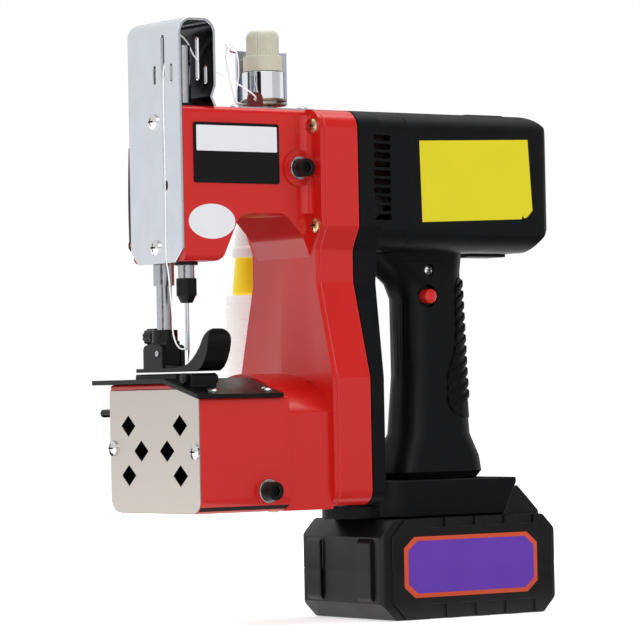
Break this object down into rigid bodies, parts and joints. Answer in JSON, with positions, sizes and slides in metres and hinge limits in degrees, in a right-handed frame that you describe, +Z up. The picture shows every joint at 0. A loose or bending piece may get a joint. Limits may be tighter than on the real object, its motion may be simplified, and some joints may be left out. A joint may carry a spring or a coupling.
{
  "type": "bag closer sewing machine",
  "caption": "Hand-held cordless bag closer: a sewing arm over a base with needle, presser foot and feed dog, a thread spool, a pistol grip and a slide-on battery.",
  "frame": {"origin": "centre of the battery's bottom face, on the surface it stands on", "axes": "+Z up, -X towards the needle, +X towards the motor, +Y towards the thread spool behind the machine"},
  "size_m": [0.2545, 0.1288, 0.3276],
  "materials": {
    "casting_red": "gloss paint over a casting",
    "black_plastic": "fine grain",
    "grip_rubber": "matte",
    "button_red": "smooth",
    "battery_plastic": "fine grain",
    "cell_wrap": "shrink sleeve",
    "chrome_sheet": "bright plated sheet",
    "steel_sheet": "fine brushed",
    "steel": "turned",
    "black_steel": "black oxide",
    "brass_zinc": "yellow plated",
    "eyelet_red": "smooth",
    "knob_ivory": "smooth",
    "spool_yellow": "smooth",
    "thread_white": "spun thread",
    "pulley_metal": "turned",
    "belt_rubber": "matte",
    "motor_steel": "plated",
    "rotor_copper": "wound"
  },
  "bodies": {
    "machine": {"head_casting": "casting_red", "column_cover": "casting_red", "motor_front_housing": "black_plastic", "handle_shell_near": "black_plastic", "handle_shell_far": "black_plastic", "grip_rubber": "grip_rubber", "switch_panel": "black_plastic", "switch_body": "black_plastic", "battery_shoe": "black_plastic", "needle_cover": "chrome_sheet", "looper_cover": "steel_sheet", "cover_screws": "steel", "bag_guide_plate": "black_steel", "small_screws": "steel", "edge_guide_block": "black_steel", "edge_guide_bolt": "black_steel", "brass_screws": "brass_zinc", "cap_screws": "black_steel", "cap_washers": "steel", "bottom_cover": "black_steel", "needle_bar_bushings": "black_steel", "presser_bar_sleeve": "steel", "tension_strip": "chrome_sheet", "thread_eyelet": "eyelet_red", "tension_post": "steel", "tension_discs": "chrome_sheet", "tension_cup": "chrome_sheet", "tension_spring": "steel", "thread_guide_bracket": "chrome_sheet", "spool_bracket": "black_steel", "spool_tube": "spool_yellow", "thread_winding": "thread_white", "spool_cap": "knob_ivory", "needle_thread": "thread_white", "shaft_bearings": "steel", "timing_belt": "belt_rubber", "presser_spring": "steel", "gear_motor": "motor_steel"},
    "battery": {"battery_case": "battery_plastic", "battery_cells": "cell_wrap"},
    "battery_latch": {"latch_button": "battery_plastic"},
    "start_button": {"start_button": "button_red"},
    "tension_knob": {"tension_knob": "knob_ivory"},
    "main_shaft": {"main_shaft": "steel", "upper_pulley": "pulley_metal"},
    "connecting_rod": {"connecting_rod": "steel"},
    "motor_rotor": {"motor_rotor": "rotor_copper"},
    "lower_shaft": {"lower_shaft": "steel", "lower_pulley": "pulley_metal"},
    "needle_bar": {"needle_bar": "steel", "needle_clamp": "black_steel", "needle": "chrome_sheet"},
    "presser_bar": {"presser_bar": "steel", "foot_clamp": "black_steel", "foot_pin": "steel"},
    "thumb_screw": {"thumb_screw": "black_steel"},
    "presser_foot": {"presser_foot": "black_steel"},
    "presser_lifter": {"presser_lifter": "black_steel"},
    "looper": {"looper": "chrome_sheet"},
    "feed_dog": {"feed_dog": "steel"}
  },
  "joints": [
    {"name": "battery_slide", "type": "slide", "parent": "machine", "child": "battery", "axis": [1, 0, 0], "range_m": [0, 0.1]},
    {"name": "latch_press", "type": "slide", "parent": "battery", "child": "battery_latch", "axis": [0, 0, -1], "range_m": [0, 0.0025], "stiffness_N_per_m": 400, "springref_m": -0.002},
    {"name": "start_press", "type": "slide", "parent": "machine", "child": "start_button", "axis": [0, 1, 0], "range_m": [0, 0.003], "stiffness_N_per_m": 300, "springref_m": -0.002},
    {"name": "tension_turn", "type": "hinge", "parent": "machine", "child": "tension_knob", "pos_m": [-0.112, -0.003, 0.31], "axis": [0, 0, 1], "range_deg": [-360, 360]},
    {"name": "main_shaft_spin", "type": "hinge", "parent": "machine", "child": "main_shaft", "pos_m": [-0.11, 0, 0.248], "axis": [1, 0, 0], "continuous": true},
    {"name": "rod_pivot", "type": "hinge", "parent": "main_shaft", "child": "connecting_rod", "pos_m": [-0.1603, 0, 0.26], "axis": [1, 0, 0], "continuous": true},
    {"name": "rotor_spin", "type": "hinge", "parent": "machine", "child": "motor_rotor", "pos_m": [0, 0, 0.248], "axis": [1, 0, 0], "continuous": true},
    {"name": "lower_shaft_spin", "type": "hinge", "parent": "machine", "child": "lower_shaft", "pos_m": [-0.11, 0, 0.0979], "axis": [1, 0, 0], "continuous": true},
    {"name": "needle_bar_slide", "type": "slide", "parent": "machine", "child": "needle_bar", "axis": [0, 0, 1], "range_m": [-0.024, 0]},
    {"name": "presser_bar_slide", "type": "slide", "parent": "machine", "child": "presser_bar", "axis": [0, 0, 1], "range_m": [0, 0.006], "stiffness_N_per_m": 700, "springref_m": -0.012, "deforming": ["presser_spring"]},
    {"name": "foot_tilt", "type": "hinge", "parent": "presser_bar", "child": "presser_foot", "pos_m": [-0.171, 0.006, 0.1486], "axis": [1, 0, 0], "range_deg": [-1, 1.5]},
    {"name": "thumb_screw_turn", "type": "hinge", "parent": "presser_bar", "child": "thumb_screw", "pos_m": [-0.171, 0.02, 0.158], "axis": [0, 1, 0], "range_deg": [-180, 180]},
    {"name": "lifter_swing", "type": "hinge", "parent": "machine", "child": "presser_lifter", "pos_m": [-0.1749, 0.0287, 0.208], "axis": [-1, 0, 0], "range_deg": [0, 25]},
    {"name": "looper_swing", "type": "hinge", "parent": "machine", "child": "looper", "pos_m": [-0.15, 0.019, 0.1019], "axis": [1, 0, 0], "range_deg": [0, 14]},
    {"name": "feed_slide", "type": "slide", "parent": "machine", "child": "feed_dog", "axis": [0, 1, 0], "range_m": [-0.0025, 0.0025]}
  ],
  "couplings": [
    {"joint": "rod_pivot", "follows": "main_shaft_spin", "ratio": -1},
    {"joint": "rotor_spin", "follows": "main_shaft_spin", "ratio": 6},
    {"joint": "lower_shaft_spin", "follows": "main_shaft_spin", "ratio": 1},
    {"joint": "lifter_swing", "follows": "presser_bar_slide", "rad_per_m": 72.7}
  ]
}
